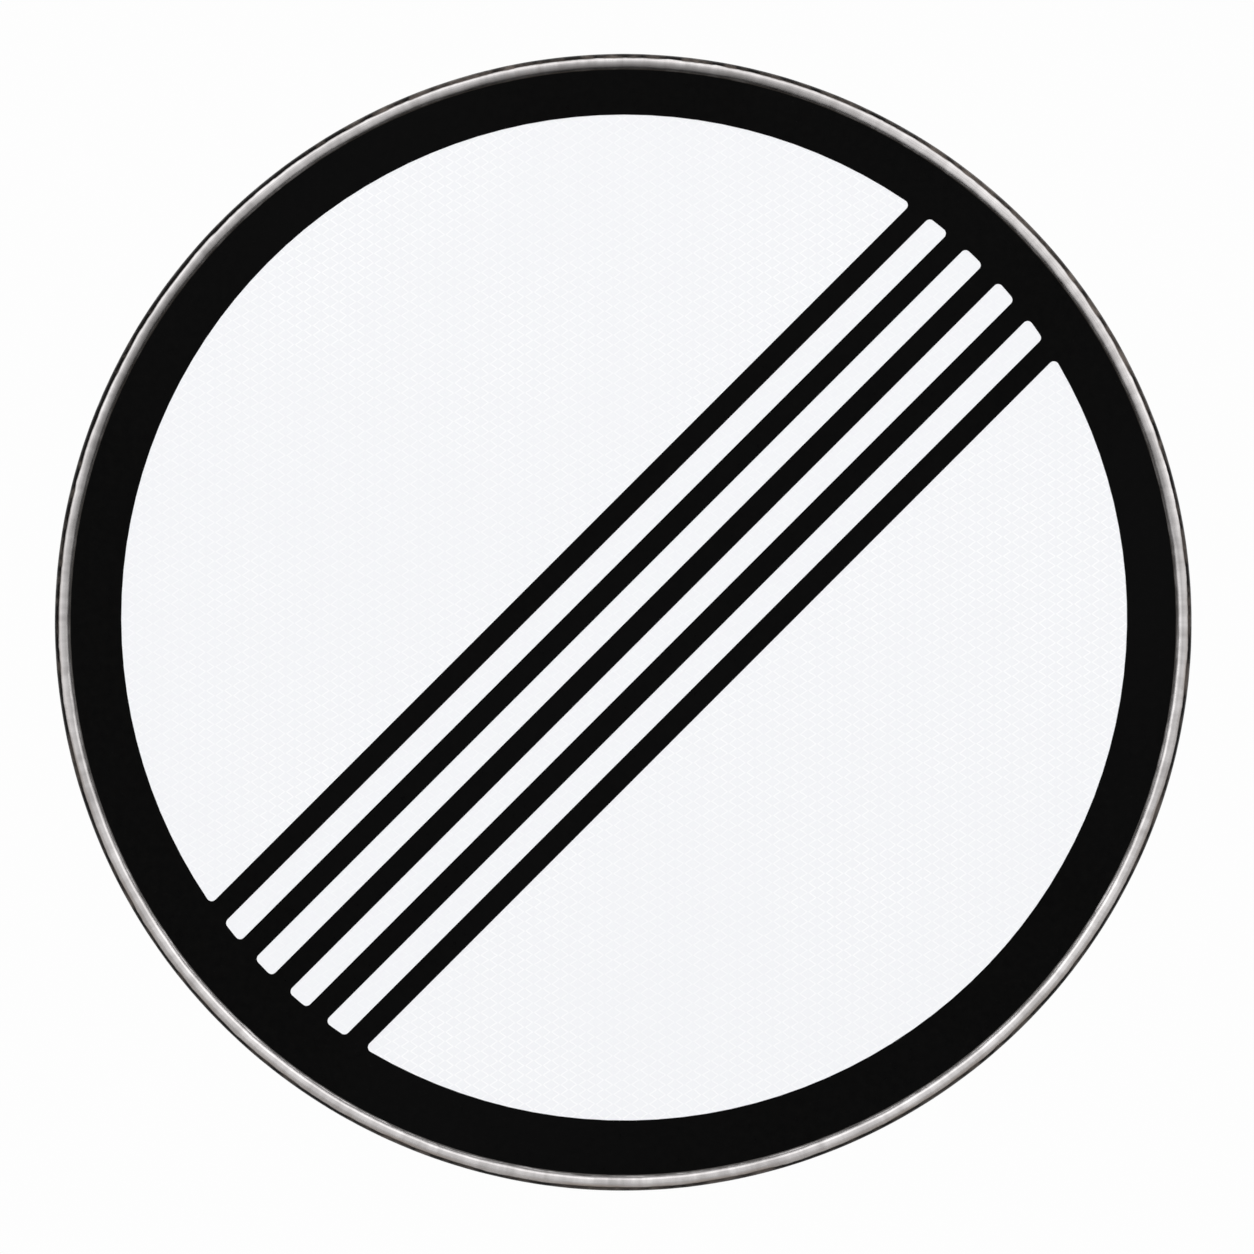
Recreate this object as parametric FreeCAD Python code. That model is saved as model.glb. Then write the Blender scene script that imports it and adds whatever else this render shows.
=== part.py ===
import FreeCAD, Part
import math
import os

# Round derestriction road sign, in millimetres. +Z is up and the face looks along -Y.
# The origin is the middle of the rails' rear faces, where the sign bears on its post.

# Pressed steel plate: flat face, half-round bead and the flange turned back behind it
sign_diameter = 600.0
plate_thickness = 1.8
flange_depth = 25.0  # from the face to the flange's rear edge
rim_width = 8.1  # bead as seen from the front
bead_radius = 4.0  # outside of the bead's crown
bead_foot_radius = 0.8  # hollow corner between the face and the bead

# White reflective sheeting, and the black overlay film laid on it
sheeting_thickness = 0.4
overlay_thickness = 0.1
film_setback = 0.3  # metal left bare at the foot of the bead
border_radius = 265.3  # inner edge of the black border
border_shift_x = 0.5  # the overlay sits a little off the plate's centre
border_shift_z = 2.5
bar_count = 5
bar_width = 11.9
bar_gap = 12.9
bar_slope = 45.0  # degrees, rising to the right
bar_group_shift = 8.3  # bars off the border's centre, towards the lower right
window_corner_radius = 2.8

# Hat-section rails spot-welded across the back
rail_length = 340.0
rail_spacing = 300.0  # between the two rails' centre lines
rail_thickness = 2.0
rail_crown_width = 34.0
rail_foot_width = 18.0
rail_bend_radius = 2.0  # inside of each bend
rail_corner_radius = 6.0  # outer corners of the feet
rail_standout = 2.0  # rear face behind the flange, so that a post clears the flange
slot_length = 36.0  # end to end
slot_width = 9.0  # clears an M8 bolt
slot_spacing = 82.0  # between the slots' middles

# Derived positions
plate_radius = sign_diameter / 2
face_y = -(flange_depth + rail_standout)  # front of the steel face
back_y = face_y + plate_thickness
flange_rear_y = face_y + flange_depth
foot_circle_radius = plate_radius - rim_width  # where the flat face ends
film_radius = foot_circle_radius - film_setback
along_y = FreeCAD.Vector(0, 1, 0)

# The face turns up into the bead through two arcs that meet at this slope
arc_reach = bead_radius + bead_foot_radius
bead_turn = math.asin((rim_width - bead_radius) / arc_reach)
foot_centre = FreeCAD.Vector(foot_circle_radius, face_y - bead_foot_radius, 0)
crown_centre = foot_centre + FreeCAD.Vector(math.sin(bead_turn), math.cos(bead_turn), 0) * arc_reach


def line(start, end):
    return Part.LineSegment(start, end).toShape()


def arc(centre, radius, from_angle, to_angle):
    """Arc in the XY plane between two angles in radians."""
    points = []
    for angle in (from_angle, (from_angle + to_angle) / 2, to_angle):
        spoke = FreeCAD.Vector(math.cos(angle), math.sin(angle), 0)
        points.append(centre + spoke * radius)
    return Part.Arc(*points).toShape()


def rounded_loop(corners):
    """Closed wire through (point, radius) corners, each turned by a tangent arc."""
    turns = []
    for i, (point, radius) in enumerate(corners):
        to_last = (corners[i - 1][0] - point).normalize()
        to_next = (corners[(i + 1) % len(corners)][0] - point).normalize()
        half_angle = to_last.getAngle(to_next) / 2
        reach = radius / math.tan(half_angle)
        inward = (to_last + to_next).normalize()
        middle = point + inward * (radius / math.sin(half_angle) - radius)
        turns.append((point + to_last * reach, middle, point + to_next * reach))
    edges = []
    for i, (start, middle, end) in enumerate(turns):
        last_end = turns[i - 1][2]
        if last_end.distanceToPoint(start) > 1e-6:
            edges.append(line(last_end, start))
        if start.distanceToPoint(end) > 1e-6:
            edges.append(Part.Arc(start, middle, end).toShape())
    return Part.Wire(Part.__sortEdges__(edges))


def plate_front_edges():
    """Half section of the outer surface: face, foot arc, bead arc and flange."""
    flat_end = FreeCAD.Vector(foot_circle_radius, face_y, 0)
    wall_start = FreeCAD.Vector(plate_radius, crown_centre.y, 0)
    return [
        line(FreeCAD.Vector(0, face_y, 0), flat_end),
        arc(foot_centre, bead_foot_radius, math.pi / 2, math.pi / 2 - bead_turn),
        arc(crown_centre, bead_radius, 1.5 * math.pi - bead_turn, 2 * math.pi),
        line(wall_start, FreeCAD.Vector(plate_radius, flange_rear_y, 0)),
    ]


def plate_back_points():
    """Half section of the inner surface, from the flange to the axis.

    It lies a sheet's thickness inside the outer surface. The hollow of the bead is made of
    straight runs that touch the arc there, as a tool with chamfered edges forms it.
    """
    hollow_radius = bead_radius - plate_thickness
    points = [FreeCAD.Vector(plate_radius - plate_thickness, flange_rear_y, 0)]
    runs = (math.pi / 2, math.pi / 4, 0, -bead_turn)  # wall, chamfer, floor and inner side
    for first, second in zip(runs, runs[1:]):
        middle = (first + second) / 2
        reach = hollow_radius / math.cos((first - second) / 2)
        spoke = FreeCAD.Vector(math.sin(middle), -math.cos(middle), 0)
        points.append(crown_centre + spoke * reach)
    rise = (back_y - crown_centre.y) * math.cos(bead_turn)
    foot_x = crown_centre.x - (hollow_radius + rise) / math.sin(bead_turn)
    points.append(FreeCAD.Vector(foot_x, back_y, 0))
    points.append(FreeCAD.Vector(0, back_y, 0))
    return points


def make_plate():
    """One sheet, spun round the sign's axis."""
    edges = plate_front_edges()
    back = plate_back_points()
    edges.append(line(edges[-1].lastVertex().Point, back[0]))
    for start, end in zip(back, back[1:]):
        edges.append(line(start, end))
    edges.append(line(back[-1], edges[0].firstVertex().Point))
    section = Part.Face(Part.Wire(edges))
    return section.revolve(FreeCAD.Vector(), along_y, 360)


def disc(radius, front_y, thickness):
    return Part.makeCylinder(radius, thickness, FreeCAD.Vector(0, front_y, 0), along_y)


def make_sheeting():
    """Plain disc of sheeting on the flat face."""
    return disc(film_radius, face_y - sheeting_thickness, sheeting_thickness)


def make_bar(offset, length, depth):
    """One bar as a block, its middle line at an offset square to the slope."""
    start = FreeCAD.Vector(-length / 2, -depth / 2, -offset - bar_width / 2)
    bar = Part.makeBox(length, depth, bar_width, start)
    bar.rotate(FreeCAD.Vector(), along_y, -bar_slope)
    return bar


def make_windows(depth):
    """The white fields as blocks about the origin: the border's circle parted by the bars."""
    field = disc(border_radius, -depth / 2, depth)
    bars = []
    for i in range(bar_count):
        steps = i - (bar_count - 1) / 2
        offset = bar_group_shift + steps * (bar_width + bar_gap)
        bars.append(make_bar(offset, 3 * border_radius, 2 * depth))
    windows = []
    for window in field.cut(bars).Solids:
        corners = [edge for edge in window.Edges if abs(edge.tangentAt(edge.FirstParameter).y) > 0.99]
        windows.append(window.makeFillet(window_corner_radius, corners))
    return windows


def make_overlay():
    """Black film: border and bars in one piece, with a window for each white field."""
    front_y = face_y - sheeting_thickness - overlay_thickness
    film = disc(film_radius, front_y, overlay_thickness)
    windows = make_windows(10 * overlay_thickness)
    for window in windows:
        window.translate(FreeCAD.Vector(border_shift_x, front_y, border_shift_z))
    return film.cut(windows)


def rail_section(centre_z):
    """Hat section of bent sheet: feet on the plate, crown at the rear."""
    half_outer = rail_crown_width / 2
    half_inner = half_outer - rail_thickness
    half_foot = half_outer + rail_foot_width
    outer_bend = rail_bend_radius + rail_thickness
    foot_y = back_y + rail_thickness
    rear = [
        (-half_foot, foot_y, 0),
        (-half_outer, foot_y, rail_bend_radius),
        (-half_outer, 0, outer_bend),
        (half_outer, 0, outer_bend),
        (half_outer, foot_y, rail_bend_radius),
        (half_foot, foot_y, 0),
    ]
    front = [
        (half_foot, back_y, 0),
        (half_inner, back_y, outer_bend),
        (half_inner, -rail_thickness, rail_bend_radius),
        (-half_inner, -rail_thickness, rail_bend_radius),
        (-half_inner, back_y, outer_bend),
        (-half_foot, back_y, 0),
    ]
    x = -rail_length / 2
    corners = [(FreeCAD.Vector(x, y, centre_z + z), bend) for z, y, bend in rear + front]
    return Part.Face(rounded_loop(corners))


def rounded_plate(width, height, radius, centre, depth):
    """Block with rounded corners, standing on the XZ plane through its centre."""
    corners = []
    for side_x, side_z in ((-1, -1), (1, -1), (1, 1), (-1, 1)):
        offset = FreeCAD.Vector(side_x * width / 2, 0, side_z * height / 2)
        corners.append((centre + offset, radius))
    return Part.Face(rounded_loop(corners)).extrude(along_y * depth)


def make_rail(centre_z):
    """Bent rail with its bolt slots, the corners of its feet rounded off."""
    rail = rail_section(centre_z).extrude(FreeCAD.Vector(rail_length, 0, 0))
    rail_width = rail_crown_width + 2 * rail_foot_width
    blank_centre = FreeCAD.Vector(0, back_y, centre_z)
    blank = rounded_plate(rail_length, rail_width, rail_corner_radius, blank_centre, -back_y)
    slots = []
    for side in (-1, 1):
        slot_centre = FreeCAD.Vector(side * slot_spacing / 2, -2 * rail_thickness, centre_z)
        slots.append(rounded_plate(slot_length, slot_width, slot_width / 2, slot_centre, 3 * rail_thickness))
    return rail.common(blank).cut(slots)


parts = {
    "sign_plate": make_plate(),
    "reflective_sheet": make_sheeting(),
    "black_film": make_overlay(),
    "upper_rail": make_rail(rail_spacing / 2),
    "lower_rail": make_rail(-rail_spacing / 2),
}

os.makedirs("parts", exist_ok=True)
for name, shape in parts.items():
    solid = shape.Solids[0]
    solid.exportStep(f"parts/{name}.step")
    print(f"{name}: {solid.Volume / 1000:.1f} cm3, valid {solid.isValid()}, solids {len(shape.Solids)}")
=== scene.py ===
import math

import bmesh
import bpy
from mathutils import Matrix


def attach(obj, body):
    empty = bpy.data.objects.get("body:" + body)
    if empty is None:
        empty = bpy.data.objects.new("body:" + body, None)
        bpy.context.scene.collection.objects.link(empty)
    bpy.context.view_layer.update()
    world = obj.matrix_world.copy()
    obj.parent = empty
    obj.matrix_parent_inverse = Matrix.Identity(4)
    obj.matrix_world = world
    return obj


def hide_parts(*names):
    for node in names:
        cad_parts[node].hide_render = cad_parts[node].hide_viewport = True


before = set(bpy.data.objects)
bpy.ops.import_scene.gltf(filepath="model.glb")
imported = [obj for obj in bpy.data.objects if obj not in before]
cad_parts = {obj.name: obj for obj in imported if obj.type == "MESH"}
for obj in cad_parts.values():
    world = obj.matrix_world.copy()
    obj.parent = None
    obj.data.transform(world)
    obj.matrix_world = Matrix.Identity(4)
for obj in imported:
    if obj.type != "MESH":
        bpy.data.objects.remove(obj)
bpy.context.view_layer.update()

# Sign plate: one round pressing of galvanised sheet steel, 600 mm across. Its edge is rolled up
# into a half-round bead and turned back into a flange. The die leaves cross marks on the bead, and
# its colour carries painted highlight and painted shade, with its outer shoulder painted dark.
# The flange and the back keep their dull zinc.
plate_radius = 0.300
plate_thickness = 0.0018
face_y = -0.0270
flange_rear_y = -0.0020
rim_width = 0.0081
bead_radius = 0.0040
bead_foot_radius = 0.0008
bead_end = 0.0200  # along the section, where the bead runs into the flange
flange_run = 0.0210  # from there to the flange's rear edge
rear_edge_round = 0.0004
face_rings = (0.97, 0.995)  # shares of the flat face's radius
flange_rings = (0.15, 0.55)  # shares of the flange's depth
plate_steps = 1440
sharp_edge = math.radians(50)

# Waves of the bead, over its whole width and from side to side: height in metres, number round the
# sign, phase in radians
bead_swells = ((0.000045, 23, 0.7), (0.000035, 41, 2.1), (0.000016, 113, 0.4), (0.000012, 191, 1.9))
bead_tilts = ((0.00007, 31, 1.2), (0.00005, 67, 0.3), (0.00003, 149, 2.4), (0.00002, 307, 1.1))

# Nicks in the bead: turn from the top in degrees, lean across the bead, depth in millimetres
bead_nicks = (
    (12, 0.2, 0.10), (38, -0.3, 0.08), (61, 0.4, 0.12), (97, 0.1, 0.09), (118, -0.5, 0.12),
    (143, 0.3, 0.08), (180.6, -0.45, 0.16), (184.2, -0.45, 0.14), (187.5, 0.2, 0.10), (203, 0.5, 0.12),
    (226, -0.2, 0.09), (249, 0.3, 0.12), (281, -0.1, 0.08), (309, 0.4, 0.12), (334, -0.4, 0.09),
)
nick_length = 0.0011
nick_breadth = 0.22  # measured as its lean is

zinc_dark = (0.392, 0.394, 0.397, 1)
zinc_pale = (0.513, 0.514, 0.516, 1)
zinc_scored = (0.27, 0.27, 0.272, 1)
zinc_smeared = (0.24, 0.235, 0.23, 1)
zinc_sheared = (0.27, 0.262, 0.255, 1)
drawn_dark = (0.41, 0.393, 0.390, 1)
drawn_pale = (0.61, 0.590, 0.587, 1)
# Painted highlight on the bead, in darker and paler streaks
highlight_dark = (0.70, 0.673, 0.668, 1)
highlight_pale = (0.92, 0.890, 0.885, 1)
oxide_brown = (0.34, 0.294, 0.262, 1)
# Painted shade on the bead: its inner side above, its foot (lighter below, deeper above), and its outer
# shoulder, black with brown patches
inner_shade_grey = (0.12, 0.113, 0.109, 1)
foot_shade_light = (0.11, 0.104, 0.100, 1)
foot_shade_deep = (0.030, 0.026, 0.023, 1)
shade_black = (0.006, 0.0053, 0.005, 1)
shade_brown = (0.105, 0.089, 0.079, 1)


def sheet_side(depth, foot_steps, bead_steps):
    """One side of the half section, from the face over the bead to the flange's rear edge.

    Each point is (radius, y, outward radius, outward y, share of the bead's unevenness).
    """
    reach = bead_radius + bead_foot_radius
    turn = math.asin((rim_width - bead_radius) / reach)
    foot_r = plate_radius - rim_width
    foot_y = face_y - bead_foot_radius
    crown_r = foot_r + reach * math.sin(turn)
    crown_y = foot_y + reach * math.cos(turn)
    side = [(foot_r * share, face_y + depth, 0.0, -1.0, 0.0) for share in face_rings]
    for i in range(foot_steps + 1):
        angle = turn * i / foot_steps
        radius = bead_foot_radius + depth
        side.append((foot_r + radius * math.sin(angle), foot_y + radius * math.cos(angle),
                     -math.sin(angle), -math.cos(angle), i / foot_steps))
    for i in range(1, bead_steps + 1):
        angle = -turn + (turn + math.pi / 2) * i / bead_steps
        radius = bead_radius - depth
        loose = min(1.0, 4 * (1 - i / bead_steps))  # steadied over the last quarter
        side.append((crown_r + radius * math.sin(angle), crown_y - radius * math.cos(angle),
                     math.sin(angle), -math.cos(angle), loose))
    wall_r = plate_radius - depth
    for share in flange_rings:
        side.append((wall_r, crown_y + (flange_rear_y - crown_y) * share, 1.0, 0.0, 0.0))
    inset = rear_edge_round if depth == 0 else -rear_edge_round
    facing = 0.7  # half way round the rear edge, which faces out as much as back there
    side.append((wall_r, flange_rear_y - rear_edge_round, 1.0, 0.0, 0.0))
    side.append((wall_r - inset * (1 - facing), flange_rear_y - rear_edge_round * (1 - facing),
                 facing, facing, 0.0))
    side.append((wall_r - inset, flange_rear_y, 0.0, 1.0, 0.0))
    return side


def bead_wave(angle, lean):
    """Unevenness of the pressed bead, in metres, at an angle round the sign and across the bead."""
    swell = sum(height * math.sin(number * angle + phase) for height, number, phase in bead_swells)
    tilt = sum(height * math.sin(number * angle + phase) for height, number, phase in bead_tilts)
    wave = swell + tilt * lean
    for turned, nick_lean, nick_depth in bead_nicks:
        along = (angle - math.radians(turned)) * plate_radius / nick_length
        across = (lean - nick_lean) / nick_breadth
        wave -= nick_depth * 0.001 * math.exp(-along * along - across * across)
    return wave


def make_plate():
    """The pressing as one closed shell, its section spun round the sign's axis.

    It carries two shares for its finish and for the painted shade and highlight on the bead,
    one towards the outer shoulder and one towards the foot.
    """
    front = sheet_side(0.0, foot_steps=6, bead_steps=22)
    back = sheet_side(plate_thickness, foot_steps=5, bead_steps=12)
    section = front + back[::-1]
    lengths = [0.0]
    for a, b in zip(section, section[1:]):
        lengths.append(lengths[-1] + math.hypot(b[0] - a[0], b[1] - a[1]))
    mesh = bpy.data.meshes.new("plate_pressing")
    shell = bmesh.new()
    shoulder = shell.verts.layers.float.new("shoulder")
    foot = shell.verts.layers.float.new("foot")
    rings = []
    for step in range(plate_steps):
        angle = 2 * math.pi * step / plate_steps
        ring = []
        for place, (r, y, out_r, out_y, loose) in enumerate(section):
            lift = loose * bead_wave(angle, out_r) if loose > 0 else 0.0
            radius = r + out_r * lift
            vert = shell.verts.new((radius * math.sin(angle), y + out_y * lift, radius * math.cos(angle)))
            if place < len(front):
                inward = (plate_radius - bead_radius - r) / (rim_width - bead_radius)
                vert[shoulder] = max(0.0, out_r)
                vert[foot] = min(1.0, max(0.0, inward))
            ring.append(vert)
        rings.append(ring)
    along = shell.loops.layers.uv.new("along_rim")
    for step in range(plate_steps):
        ring, following = rings[step], rings[(step + 1) % plate_steps]
        for i in range(len(section) - 1):
            face = shell.faces.new((ring[i], ring[i + 1], following[i + 1], following[i]))
            face.smooth = True
            spots = ((step, i), (step, i + 1), (step + 1, i + 1), (step + 1, i))
            for loop, (turned, place) in zip(face.loops, spots):
                loop[along].uv = (2 * math.pi * plate_radius * turned / plate_steps, lengths[place])
    for end in (0, -1):
        disc = shell.faces.new([ring[end] for ring in rings])
        for loop in disc.loops:
            loop[along].uv = (0.0, lengths[end])
    bmesh.ops.recalc_face_normals(shell, faces=shell.faces)
    shell.to_mesh(mesh)
    shell.free()
    mesh.set_sharp_from_angle(angle=sharp_edge)
    pressing = bpy.data.objects.new("plate_pressing", mesh)
    bpy.context.scene.collection.objects.link(pressing)
    return pressing


def put(tree, kind, sockets=None, **settings):
    """Adds a node. A socket's value is a number, a colour, or the output that feeds it."""
    added = tree.nodes.new(kind)
    for name, value in settings.items():
        setattr(added, name, value)
    for name, value in (sockets or {}).items():
        if isinstance(value, bpy.types.NodeSocket):
            tree.links.new(value, added.inputs[name])
        else:
            added.inputs[name].default_value = value
    return added


def new_finish(name):
    """Node material with its shader joined to the output, and the place on the object to vary it by."""
    finish = bpy.data.materials.new(name)
    finish.use_nodes = True
    tree = finish.node_tree
    place = put(tree, "ShaderNodeTexCoord").outputs["Object"]
    return finish, tree, tree.nodes["Principled BSDF"], place


def calc(tree, operation, first, second=0.0):
    """One step of arithmetic."""
    return put(tree, "ShaderNodeMath", {0: first, 1: second}, operation=operation).outputs[0]


def blend(tree, share, first, second, kind="RGBA"):
    """Value or colour between two, by a share from 0 to 1."""
    mixed = put(tree, "ShaderNodeMix", data_type=kind)
    suffix = "Color" if kind == "RGBA" else "Float"
    for socket, value in (("Factor_Float", share), ("A_" + suffix, first), ("B_" + suffix, second)):
        target = next(s for s in mixed.inputs if s.identifier == socket)
        if isinstance(value, bpy.types.NodeSocket):
            tree.links.new(value, target)
        else:
            target.default_value = value
    return next(s for s in mixed.outputs if s.identifier == "Result_" + suffix)


def remap(tree, value, low, high, to_low=0.0, to_high=1.0):
    """Value moved from one range to another, held at its ends."""
    sockets = {"Value": value, "From Min": low, "From Max": high, "To Min": to_low, "To Max": to_high}
    return put(tree, "ShaderNodeMapRange", sockets, clamp=True).outputs["Result"]


def noise(tree, place, scale, detail=3.0, roughness=0.5):
    """Cloudy value about 0.5, with so many clouds to the metre."""
    sockets = {"Vector": place, "Scale": scale, "Detail": detail, "Roughness": roughness}
    return put(tree, "ShaderNodeTexNoise", sockets).outputs["Fac"]


def shaken(tree, place, scale, reach):
    """Position moved about by noise, so that a pattern on it wavers."""
    sway = put(tree, "ShaderNodeTexNoise", {"Vector": place, "Scale": scale, "Detail": 2.0})
    sockets = {0: sway.outputs["Color"], 1: (reach, reach, reach), 2: place}
    return put(tree, "ShaderNodeVectorMath", sockets, operation="MULTIPLY_ADD").outputs["Vector"]


def relief(tree, height, strength, distance, under=None):
    """Normal of a fine relief, laid over another one where that is given."""
    sockets = {"Height": height, "Strength": strength, "Distance": distance}
    if under is not None:
        sockets["Normal"] = under
    return put(tree, "ShaderNodeBump", sockets).outputs["Normal"]


def bare_zinc(tree, place, flakes_per_metre, dark, pale):
    """Colour, roughness and grain of untouched zinc: spangle in two tones, clouds and fine grain."""
    wavering = shaken(tree, place, 90.0, 0.66 / flakes_per_metre)
    spangle = put(tree, "ShaderNodeTexVoronoi", {"Vector": wavering, "Scale": flakes_per_metre})
    flake = put(tree, "ShaderNodeSeparateColor", {"Color": spangle.outputs["Color"]}).outputs["Red"]
    cloud = noise(tree, place, 9.0, 6.0, 0.6)
    grain = noise(tree, place, 900.0, 4.0, 0.65)
    zinc = blend(tree, flake, dark, pale)
    weathered = (pale[0] * 1.12, pale[1] * 1.11, pale[2] * 1.10, 1)
    colour = blend(tree, remap(tree, cloud, 0.4, 0.7, 0.0, 0.7), zinc, weathered)
    satin = remap(tree, flake, 0, 1, 0.36, 0.46)
    roughness = calc(tree, "ADD", satin, remap(tree, grain, 0.3, 0.7, -0.05, 0.07))
    return colour, roughness, grain


def bead_metal(tree, place, turned, drawn):
    """Colour and roughness of the bead, from its arc length round the sign and the die's marks, with
    painted highlight and painted shade laid into the colour by place.
    """
    axes = put(tree, "ShaderNodeSeparateXYZ", {"Vector": place})
    shoulder = put(tree, "ShaderNodeAttribute", attribute_name="shoulder").outputs["Fac"]
    foot = put(tree, "ShaderNodeAttribute", attribute_name="foot").outputs["Fac"]
    blotch = noise(tree, place, 120.0, 4.0, 0.55)
    patch = noise(tree, place, 24.0, 3.0, 0.6)
    cloud = noise(tree, place, 30.0, 2.0)
    unsteady = calc(tree, "ADD", remap(tree, blotch, 0.3, 0.7, -0.06, 0.06),
                    remap(tree, patch, 0.35, 0.65, -0.05, 0.05))

    # The upper half, its left, and the middle of the right, by which the painted shade and highlight
    # below are laid
    upper_half = remap(tree, axes.outputs["Z"], -0.16, 0.12)
    upper_left = calc(tree, "MULTIPLY", remap(tree, axes.outputs["X"], -0.06, -0.22), upper_half)
    right_side = calc(tree, "MULTIPLY", remap(tree, axes.outputs["X"], 0.268, 0.294),
                      remap(tree, axes.outputs["Z"], 0.09, 0.01))

    # Streaked bright metal, with a painted highlight on the outer side above
    streak = calc(tree, "ADD", drawn, remap(tree, cloud, 0.3, 0.7, -0.14, 0.14))
    streak = remap(tree, streak, 0.28, 0.72)
    drawn_bright = blend(tree, streak, drawn_dark, drawn_pale)
    highlight_metal = blend(tree, streak, highlight_dark, highlight_pale)
    outer_highlight = calc(tree, "MULTIPLY", remap(tree, shoulder, 0.0, 0.12), upper_half)
    outer_highlight = calc(tree, "MULTIPLY", outer_highlight, remap(tree, right_side, 0, 1, 1.0, 0.3))

    # Painted highlight on the inner side, half way between top, sides and bottom, and at the right;
    # weaker below and towards the upper left
    quarters = calc(tree, "MULTIPLY", turned, 4 / plate_radius)
    inner_highlight = remap(tree, calc(tree, "COSINE", quarters), 0.6, -0.9)
    inner_highlight_right = calc(tree, "MULTIPLY", right_side, remap(tree, foot, 0.22, 0.48, 0.0, 0.85))
    inner_highlight = calc(tree, "MAXIMUM", inner_highlight, inner_highlight_right)
    inner_highlight = calc(tree, "MULTIPLY", inner_highlight, remap(tree, shoulder, 0.0, 0.2, 1.0, 0.0))
    inner_highlight_above = remap(tree, axes.outputs["X"], -0.24, -0.08, 0.0, 0.95)
    inner_highlight = calc(tree, "MULTIPLY", inner_highlight, blend(tree, upper_half, 0.3, inner_highlight_above, "FLOAT"))
    metal = blend(tree, calc(tree, "MAXIMUM", outer_highlight, inner_highlight), drawn_bright, highlight_metal)

    # Brown oxide on the outer side below; painted shade on the inner side above and at the foot, wider
    # and deeper at the foot in the upper half
    oxide = calc(tree, "MULTIPLY", remap(tree, shoulder, 0.02, 0.35),
                 remap(tree, patch, 0.40, 0.62, 0.35, 0.9))
    oxide = calc(tree, "MULTIPLY", oxide, remap(tree, upper_half, 0, 1, 1.0, 0.15))
    metal = blend(tree, oxide, metal, oxide_brown)
    inner_shade = calc(tree, "MULTIPLY", remap(tree, inner_highlight, 0.0, 0.6, 1.0, 0.0), upper_half)
    inner_shade = calc(tree, "MULTIPLY", inner_shade, remap(tree, foot, 0.08, 0.45, 0.0, 0.6))
    metal = blend(tree, inner_shade, metal, inner_shade_grey)
    foot_shade_start = remap(tree, upper_half, 0, 1, 0.85, 0.43)
    foot_shade_end = remap(tree, upper_half, 0, 1, 0.96, 1.0)
    foot_shade = remap(tree, calc(tree, "ADD", foot, unsteady), foot_shade_start, foot_shade_end)
    # Painted shade at the foot, lighter in the lower half and deeper in the upper half
    metal = blend(tree, foot_shade, metal, blend(tree, upper_half, foot_shade_light, foot_shade_deep))

    # Painted shade on the outer shoulder, black with brown patches, wider in the upper half and at the
    # upper left
    shade_edge_shift = calc(tree, "ADD", unsteady, remap(tree, upper_half, 0, 1, -0.10, 0.02))
    shade_edge_shift = calc(tree, "ADD", shade_edge_shift, remap(tree, upper_left, 0, 1, 0.0, 0.07))
    shoulder_shade = remap(tree, calc(tree, "ADD", shoulder, shade_edge_shift), 0.32, 0.47)
    shade_patches = calc(tree, "ADD", remap(tree, blotch, 0.40, 0.68),
                  remap(tree, patch, 0.35, 0.65, -0.45, 0.25))
    shade_patches = calc(tree, "ADD", shade_patches, remap(tree, upper_left, 0, 1, 0.0, -0.4))
    colour = blend(tree, shoulder_shade, metal, blend(tree, shade_patches, shade_black, shade_brown))

    roughness = blend(tree, shoulder_shade, remap(tree, drawn, 0.3, 0.7, 0.08, 0.15), 0.42, "FLOAT")
    roughness = blend(tree, remap(tree, foot, 0.52, 0.72), roughness, 0.40, "FLOAT")
    return colour, roughness


def flange_metal(tree, place, rim, over_edge, zinc):
    """Colour of the flange: zinc scored by the die, smeared by the bead and sheared at the rear."""
    endwise = put(tree, "ShaderNodeMapping", {"Vector": rim, "Scale": (900.0, 22.0, 1.0)})
    score = noise(tree, endwise.outputs["Vector"], 1.0, 3.0, 0.6)
    flange_end = bead_end + flange_run
    on_flange = calc(tree, "MULTIPLY", remap(tree, over_edge, bead_end, bead_end + 0.002),
                     remap(tree, over_edge, flange_end, flange_end + 0.001, 1.0, 0.0))
    scored = calc(tree, "MULTIPLY", remap(tree, score, 0.50, 0.66, 0.0, 0.55), on_flange)
    colour = blend(tree, scored, zinc, zinc_scored)
    smeared = remap(tree, over_edge, bead_end, bead_end + 0.010, 0.45, 0.0)
    colour = blend(tree, smeared, colour, zinc_smeared)
    depth = put(tree, "ShaderNodeSeparateXYZ", {"Vector": place}).outputs["Y"]
    rear_edge = remap(tree, depth, flange_rear_y - rear_edge_round, flange_rear_y - rear_edge_round / 2)
    return blend(tree, rear_edge, colour, zinc_sheared)


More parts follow.
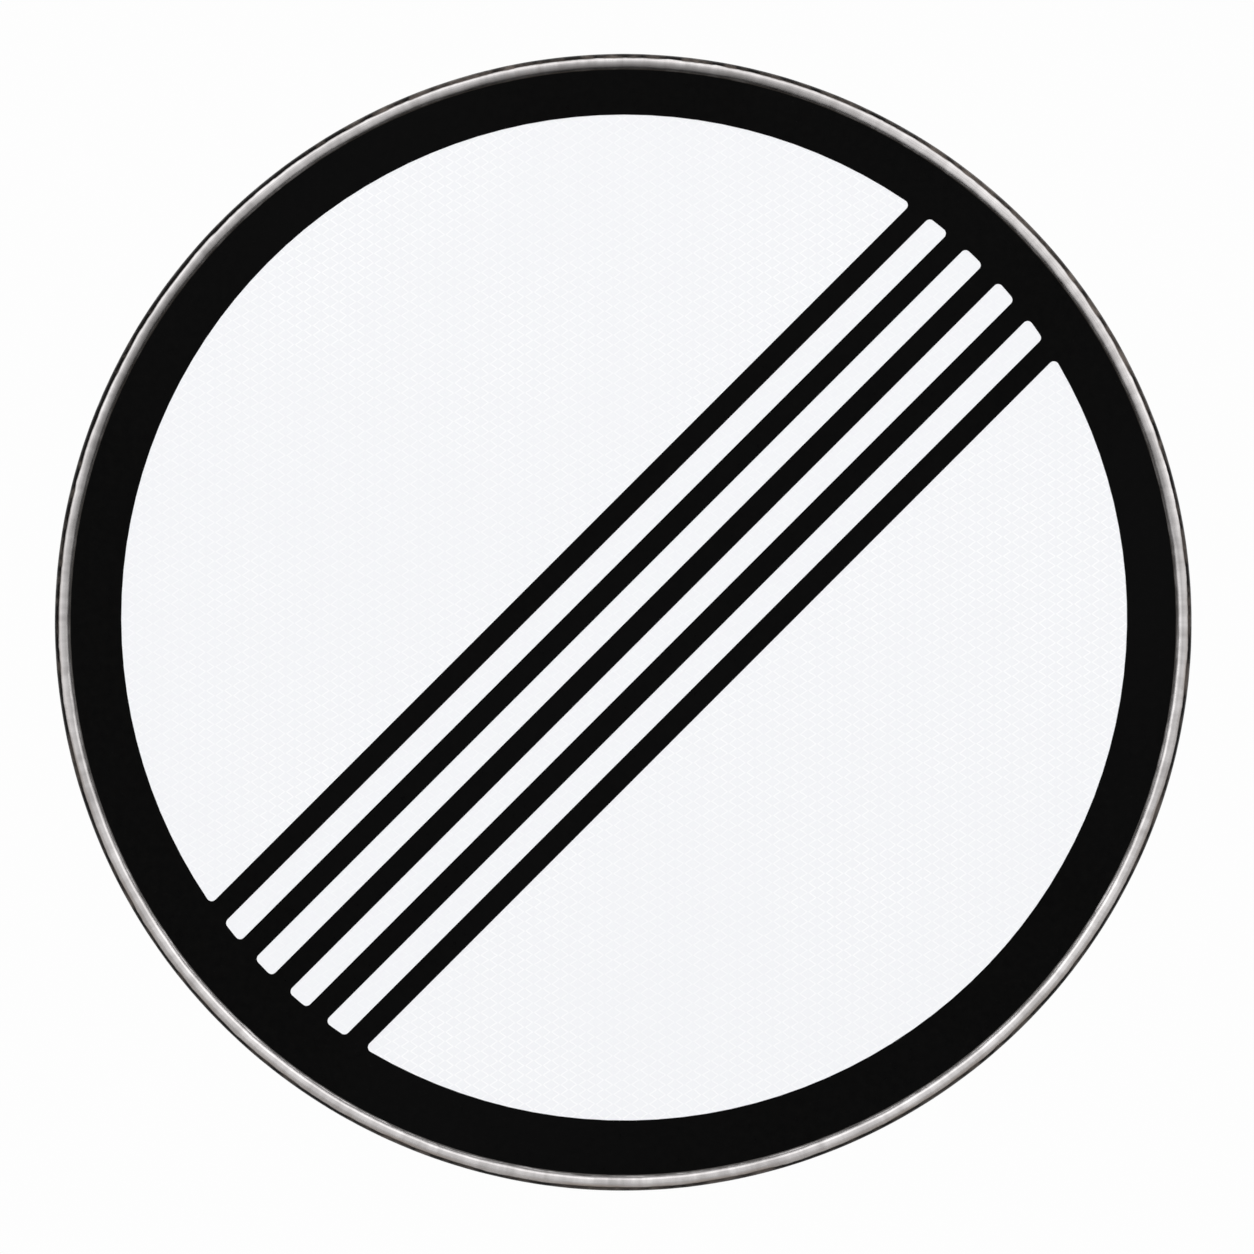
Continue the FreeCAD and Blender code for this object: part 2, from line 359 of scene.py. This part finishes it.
def plate_finish():
    """Bare zinc, with the bead drawn bright and the flange scored, and painted highlight and painted
    shade in the bead's colour.
    """
    finish, tree, shader, place = new_finish("plate_zinc")
    zinc, zinc_roughness, grain = bare_zinc(tree, place, 110.0, zinc_dark, zinc_pale)
    rim = put(tree, "ShaderNodeUVMap", uv_map="along_rim").outputs["UV"]
    round_and_over = put(tree, "ShaderNodeSeparateXYZ", {"Vector": rim})
    crosswise = put(tree, "ShaderNodeMapping", {"Vector": rim, "Scale": (170.0, 40.0, 1.0)})
    drawn = noise(tree, crosswise.outputs["Vector"], 1.0, 2.5, 0.5)
    ragged = remap(tree, drawn, 0.3, 0.7, -0.0008, 0.0008)
    over_edge = calc(tree, "ADD", round_and_over.outputs["Y"], ragged)
    to_zinc = remap(tree, over_edge, bead_end - 0.0020, bead_end + 0.0025)
    bead, bead_roughness = bead_metal(tree, place, round_and_over.outputs["X"], drawn)
    flange = flange_metal(tree, place, rim, over_edge, zinc)
    tree.links.new(blend(tree, to_zinc, bead, flange), shader.inputs["Base Color"])
    roughness = blend(tree, to_zinc, bead_roughness, zinc_roughness, "FLOAT")
    tree.links.new(roughness, shader.inputs["Roughness"])
    shader.inputs["Metallic"].default_value = 1.0
    pits = relief(tree, grain, 0.10, 0.0003)
    marks = relief(tree, drawn, 0.25, 0.0003, pits)
    wavy = relief(tree, noise(tree, place, 11.0, 1.0), 0.30, 0.0025, marks)
    tree.links.new(wavy, shader.inputs["Normal"])
    return finish


plate = make_plate()
plate.data.materials.append(plate_finish())
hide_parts("sign_plate")
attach(plate, "root")

# Reflective sheeting: white prismatic film, 0.4 mm thick, stuck over the flat face inside the
# bead. Its clear layer is sealed to the white one round upright chains of diamond cells.
chain_pitch = 0.00467
cell_pitch = 0.00507
cell_half_width = 0.00362
cell_half_height = 0.00249
neck_reach = 0.0009  # from the middle of a chain, where its cells meet
bars_offset = 0.0098  # middle of the bars and their reach, measured level across their slope
bars_reach = 0.0786
bars_fade = 0.006
cell_white = (0.862, 0.874, 0.896, 1)
cell_pale = (0.878, 0.885, 0.903, 1)
cell_lilac = (0.866, 0.868, 0.895, 1)
seal_white = (0.957, 0.960, 0.970, 1)


def seal_lines(tree, place):
    """1 on the seal between the cells, about half where two cells of a chain meet, 0 in the cells."""
    axes = put(tree, "ShaderNodeSeparateXYZ", {"Vector": shaken(tree, place, 150.0, 0.0013)})
    cells = []
    for shift in (0.0, 0.5):
        across = calc(tree, "ADD", axes.outputs["X"], shift * 2 * chain_pitch)
        upward = calc(tree, "ADD", axes.outputs["Z"], shift * cell_pitch)
        across = calc(tree, "DIVIDE", calc(tree, "PINGPONG", across, chain_pitch), cell_half_width)
        upward = calc(tree, "DIVIDE", calc(tree, "PINGPONG", upward, cell_pitch / 2), cell_half_height)
        cells.append(calc(tree, "ADD", across, upward))
    outside = remap(tree, calc(tree, "MINIMUM", *cells), 0.95, 1.08)
    from_chain = calc(tree, "PINGPONG", axes.outputs["X"], chain_pitch / 2)
    neck = remap(tree, from_chain, 0.0001, neck_reach, 0.5, 1.0)
    return calc(tree, "MULTIPLY", outside, neck)


def sheeting_finish():
    """Cells in three near whites, with the paler seal weak in places and between the bars."""
    finish, tree, shader, place = new_finish("white_prismatic")
    seal = seal_lines(tree, place)
    fine = noise(tree, place, 700.0)
    haze = noise(tree, place, 6.0, 4.0)
    axes = put(tree, "ShaderNodeSeparateXYZ", {"Vector": place})
    level = calc(tree, "SUBTRACT", axes.outputs["X"], axes.outputs["Z"])
    from_bars = calc(tree, "ABSOLUTE", calc(tree, "SUBTRACT", level, bars_offset))
    clear = remap(tree, from_bars, bars_reach - bars_fade, bars_reach + bars_fade, 0.40, 1.0)
    strength = calc(tree, "MULTIPLY", remap(tree, noise(tree, place, 190.0), 0.3, 0.6, 0.45, 1.0),
                    remap(tree, haze, 0.4, 0.62, 0.55, 1.0))
    strength = calc(tree, "MULTIPLY", strength, clear)
    tint = noise(tree, place, 260.0, 1.0)
    cell = blend(tree, fine, cell_white, cell_pale)
    cell = blend(tree, remap(tree, tint, 0.35, 0.65, 0.0, 0.6), cell, cell_lilac)
    colour = blend(tree, calc(tree, "MULTIPLY", seal, strength), cell, seal_white)
    tree.links.new(colour, shader.inputs["Base Color"])
    tree.links.new(remap(tree, seal, 0, 1, 0.28, 0.42), shader.inputs["Roughness"])
    shader.inputs["Specular IOR Level"].default_value = 0.25
    tree.links.new(relief(tree, seal, 0.12, 0.0001), shader.inputs["Normal"])
    return finish


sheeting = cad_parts["reflective_sheet"]
sheeting.data.materials.clear()
sheeting.data.materials.append(sheeting_finish())

# Black overlay: one opaque film, 0.1 mm thick, with the border and the diagonal bars cut in one
# piece. It is stuck on the sheeting, and the white shows through its windows.
film_deep = (0.0006, 0.0006, 0.0006, 1)
film_mottled = (0.0018, 0.0017, 0.0016, 1)
film_hazed = (0.0022, 0.0022, 0.0023, 1)


def overlay_finish():
    """Satin black, faintly mottled and hazed, through which the sheeting's seal lines press."""
    finish, tree, shader, place = new_finish("black_overlay_film")
    mottle = noise(tree, place, 220.0, 5.0, 0.6)
    haze = noise(tree, place, 6.0)
    black = blend(tree, remap(tree, mottle, 0.3, 0.7), film_deep, film_mottled)
    colour = blend(tree, remap(tree, haze, 0.4, 0.7, 0.0, 0.6), black, film_hazed)
    tree.links.new(colour, shader.inputs["Base Color"])
    tree.links.new(remap(tree, mottle, 0.3, 0.7, 0.26, 0.40), shader.inputs["Roughness"])
    shader.inputs["Specular IOR Level"].default_value = 0.035
    emboss = relief(tree, seal_lines(tree, place), 0.08, 0.0001)
    tree.links.new(emboss, shader.inputs["Normal"])
    return finish


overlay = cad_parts["black_film"]
overlay.data.materials.clear()
overlay.data.materials.append(overlay_finish())

# Rails: two hat sections bent from 2 mm galvanised sheet, each held across the back by a row of
# spot welds through either foot. The slots in their crowns take the bolts of the post clamps.
rail_height = 0.150
rail_half_length = 0.170
rail_half_width = 0.035
rail_thickness = 0.002
rail_foot_y = -0.0232
slot_half_width = 0.0045
edge_break = 0.0003
weld_row = 0.027
weld_pitch = 0.075
weld_count = 5
weld_profile = (
    (0.0012, -0.00030), (0.0021, -0.00026), (0.0028, -0.00014), (0.0033, 0.0), (0.0034, 0.00004),
)  # radius of the dent and height over the foot
punch_sides = 28
rail_zinc_dark = (0.335, 0.338, 0.341, 1)
rail_zinc_pale = (0.425, 0.427, 0.430, 1)
tempered_blue = (0.27, 0.285, 0.315, 1)
scorched_brown = (0.20, 0.18, 0.162, 1)
pressed_grey = (0.35, 0.342, 0.335, 1)
sheared_dark = (0.19, 0.182, 0.175, 1)
sheared_pale = (0.34, 0.33, 0.32, 1)


def make_weld_punches(centre_z):
    """The electrode's dents in both feet of a rail, as solids to sink into it."""
    punches = bmesh.new()
    for row in (-weld_row, weld_row):
        for i in range(weld_count):
            x = (i - (weld_count - 1) / 2) * weld_pitch
            rings = []
            for radius, rise in weld_profile:
                ring = []
                for step in range(punch_sides):
                    angle = 2 * math.pi * step / punch_sides
                    spot_x = x + radius * math.cos(angle)
                    spot_z = centre_z + row + radius * math.sin(angle)
                    ring.append(punches.verts.new((spot_x, rail_foot_y + rise, spot_z)))
                rings.append(ring)
            for low, high in zip(rings, rings[1:]):
                for step in range(punch_sides):
                    following = (step + 1) % punch_sides
                    punches.faces.new((low[step], low[following], high[following], high[step]))
            punches.faces.new(rings[0])
            punches.faces.new(rings[-1][::-1])
    bmesh.ops.recalc_face_normals(punches, faces=punches.faces)
    mesh = bpy.data.meshes.new("weld_punches")
    punches.to_mesh(mesh)
    punches.free()
    tool = bpy.data.objects.new("weld_punches", mesh)
    bpy.context.scene.collection.objects.link(tool)
    return tool


def make_rail(name, node_name, centre_z):
    """The bent rail with its edges broken and its weld dents."""
    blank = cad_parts[node_name].data.copy()
    shape = bmesh.new()
    shape.from_mesh(blank)
    bmesh.ops.remove_doubles(shape, verts=shape.verts, dist=0.000001)
    bmesh.ops.dissolve_limit(shape, angle_limit=math.radians(0.5), verts=shape.verts, edges=shape.edges)
    for face in shape.faces:
        face.smooth = True
    shape.to_mesh(blank)
    shape.free()
    draft = bpy.data.objects.new("rail_draft", blank)
    bpy.context.scene.collection.objects.link(draft)
    tool = make_weld_punches(centre_z)
    dents = draft.modifiers.new("dents", "BOOLEAN")
    dents.operation = "DIFFERENCE"
    dents.solver = "EXACT"
    dents.object = tool
    edges = draft.modifiers.new("edges", "BEVEL")
    edges.width = edge_break
    edges.segments = 2
    edges.limit_method = "ANGLE"
    edges.angle_limit = sharp_edge
    draft.modifiers.new("flats", "WEIGHTED_NORMAL")
    mesh = bpy.data.meshes.new_from_object(draft.evaluated_get(bpy.context.evaluated_depsgraph_get()))
    mesh.name = name
    for used in (draft, tool):
        bpy.data.objects.remove(used)
    made = bpy.data.objects.new(name, mesh)
    bpy.context.scene.collection.objects.link(made)
    return made


def rail_finish():
    """Bare zinc, with heat rings round the welds and bare steel where the sheet was cut."""
    finish, tree, shader, place = new_finish("rail_zinc")
    zinc, roughness, grain = bare_zinc(tree, place, 210.0, rail_zinc_dark, rail_zinc_pale)
    axes = put(tree, "ShaderNodeSeparateXYZ", {"Vector": place})
    from_middle = calc(tree, "SUBTRACT", calc(tree, "ABSOLUTE", axes.outputs["Z"]), rail_height)
    across = calc(tree, "ABSOLUTE", from_middle)

    # Rings of heat colour round each weld, by the distance from its middle
    from_weld = calc(tree, "PINGPONG", axes.outputs["X"], weld_pitch / 2)
    from_row = calc(tree, "SUBTRACT", across, weld_row)
    spot = put(tree, "ShaderNodeCombineXYZ", {"X": from_weld, "Y": from_row}).outputs[0]
    distance = put(tree, "ShaderNodeVectorMath", {0: spot}, operation="LENGTH").outputs["Value"]
    uneven = remap(tree, noise(tree, place, 500.0), 0.3, 0.7, -0.0008, 0.0008)
    distance = calc(tree, "ADD", distance, uneven)
    marked = blend(tree, remap(tree, distance, 0.0042, 0.0085, 0.6, 0.0), zinc, tempered_blue)
    marked = blend(tree, remap(tree, distance, 0.0030, 0.0050, 0.9, 0.0), marked, scorched_brown)
    marked = blend(tree, remap(tree, distance, 0.0020, 0.0030, 1.0, 0.0), marked, pressed_grey)

    # Cut edges: the rail's ends, the edges of its feet and the walls of its slots
    along = calc(tree, "ABSOLUTE", axes.outputs["X"])
    rail_end = remap(tree, along, rail_half_length - 0.0004, rail_half_length - 0.0002)
    foot_edge = remap(tree, across, rail_half_width - 0.0004, rail_half_width - 0.0002)
    half_crown = rail_thickness / 2
    off_core = calc(tree, "ABSOLUTE", calc(tree, "ADD", axes.outputs["Y"], half_crown))
    in_slot = calc(tree, "MULTIPLY",
                   remap(tree, across, slot_half_width + 0.0001, slot_half_width + 0.0003, 1.0, 0.0),
                   remap(tree, off_core, half_crown - 0.0003, half_crown - 0.0001, 1.0, 0.0))
    cut = calc(tree, "MAXIMUM", calc(tree, "MAXIMUM", rail_end, foot_edge), in_slot)
    sheared = blend(tree, noise(tree, place, 1500.0), sheared_dark, sheared_pale)
    tree.links.new(blend(tree, cut, marked, sheared), shader.inputs["Base Color"])
    roughness = calc(tree, "ADD", roughness, remap(tree, cut, 0, 1, 0.0, 0.12))
    tree.links.new(roughness, shader.inputs["Roughness"])
    shader.inputs["Metallic"].default_value = 1.0
    tree.links.new(relief(tree, grain, 0.10, 0.0003), shader.inputs["Normal"])
    return finish


rail_zinc = rail_finish()
rails = (("upper_hat_rail", "upper_rail", rail_height), ("lower_hat_rail", "lower_rail", -rail_height))
for rail_name, node_name, centre_z in rails:
    rail = make_rail(rail_name, node_name, centre_z)
    rail.data.materials.clear()
    rail.data.materials.append(rail_zinc)
    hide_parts(node_name)
    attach(rail, "root")

# Floor: a plain sheet of pale card, laid flat below the sign for the picture. It runs out into the
# white of the sweep on all sides, so that no edge of it shows.
floor_z = -0.62
floor_half = 15.0
floor_middle = (0.0, -2.2, floor_z)
floor_fade_start = 3.6  # from its middle
floor_fade_end = 5.2
floor_dark = (0.60, 0.60, 0.60, 1)
floor_pale = (0.64, 0.64, 0.64, 1)
white_level = 0.985
floor_mesh = bpy.data.meshes.new("floor")
floor_corners = [(-floor_half, -floor_half, floor_z), (floor_half, -floor_half, floor_z),
                 (floor_half, floor_half, floor_z), (-floor_half, floor_half, floor_z)]
floor_mesh.from_pydata(floor_corners, [], [(0, 1, 2, 3)])
floor = bpy.data.objects.new("floor", floor_mesh)
bpy.context.scene.collection.objects.link(floor)


def floor_finish():
    """Matt card, fading into an even white with the distance from its middle."""
    finish, tree, shader, place = new_finish("floor_sheet")
    distance = put(tree, "ShaderNodeVectorMath", {0: place, 1: floor_middle}, operation="DISTANCE")
    tone = blend(tree, noise(tree, place, 30.0, 4.0), floor_dark, floor_pale)
    tree.links.new(tone, shader.inputs["Base Color"])
    shader.inputs["Roughness"].default_value = 0.8
    shader.inputs["Specular IOR Level"].default_value = 0.1
    sweep = put(tree, "ShaderNodeEmission", {"Color": (1, 1, 1, 1), "Strength": white_level})
    share = remap(tree, distance.outputs["Value"], floor_fade_start, floor_fade_end)
    mixed = put(tree, "ShaderNodeMixShader", {0: share, 1: shader.outputs[0], 2: sweep.outputs[0]})
    tree.links.new(mixed.outputs[0], tree.nodes["Material Output"].inputs["Surface"])
    return finish


floor_mesh.materials.append(floor_finish())

# Studio: a white sweep all round at eye level under a soft canopy. The canopy is brighter overhead
# than over the camera, and draws the bright line along the bead. A softer one lights the back.
front_canopy = 1.07
overhead_canopy = 1.72
rear_canopy = 1.50
dim_room = 0.45
studio = bpy.data.worlds.new("studio")
bpy.context.scene.world = studio
studio.use_nodes = True
sky = studio.node_tree
direction = put(sky, "ShaderNodeTexCoord").outputs["Generated"]
look = put(sky, "ShaderNodeSeparateXYZ", {"Vector": direction})
ahead = calc(sky, "MULTIPLY", look.outputs["Y"], -1.0)
sweep_share = remap(sky, calc(sky, "ABSOLUTE", look.outputs["Z"]), 0.20, 0.36, 1.0, 0.0)


def canopy(facing, near_edge, far_edge, lift):
    """1 on a half ring about the sign's axis between two angles in degrees, above a height."""
    near_cosine = math.cos(math.radians(near_edge))
    far_cosine = math.cos(math.radians(far_edge))
    within = remap(sky, facing, near_cosine - 0.015, near_cosine + 0.015, 1.0, 0.0)
    until = remap(sky, facing, far_cosine - 0.04, far_cosine + 0.04)
    above = remap(sky, look.outputs["Z"], lift, lift + 0.12)
    return calc(sky, "MULTIPLY", calc(sky, "MULTIPLY", within, until), above)


front_shape = canopy(ahead, near_edge=14, far_edge=84, lift=0.02)
rear_shape = canopy(look.outputs["Y"], near_edge=40, far_edge=80, lift=0.10)
front_level = remap(sky, ahead, 0.55, 0.75, overhead_canopy, front_canopy)
glow = blend(sky, sweep_share, dim_room, white_level, "FLOAT")
glow = calc(sky, "MAXIMUM", glow, calc(sky, "MULTIPLY", front_shape, front_level))
glow = calc(sky, "MAXIMUM", glow, calc(sky, "MULTIPLY", rear_shape, rear_canopy))
sky.links.new(glow, sky.nodes["Background"].inputs["Strength"])
sky.nodes["Background"].inputs["Color"].default_value = (1, 1, 1, 1)

# Camera: level with the sign and straight in front of it, 4 m away, with a long lens. The rim
# fills the same share of the frame as in the photograph, and lies as little off its middle.
camera_distance = 4.0
rim_share_of_frame = 568.4 / 1254
widest_y = -0.0253  # where the bead is widest, from which the distance is measured
camera_x = 0.00199
camera_z = -0.00249
camera_data = bpy.data.cameras.new("camera")
camera_data.sensor_width = 36.0
camera_data.lens = camera_data.sensor_width * rim_share_of_frame * camera_distance / plate_radius
camera_data.clip_end = 80.0
camera = bpy.data.objects.new("camera", camera_data)
camera.location = (camera_x, widest_y - camera_distance, camera_z)
camera.rotation_euler = (math.pi / 2, 0, 0)
bpy.context.scene.collection.objects.link(camera)
bpy.context.scene.camera = camera
bpy.context.scene.view_settings.view_transform = "Standard"
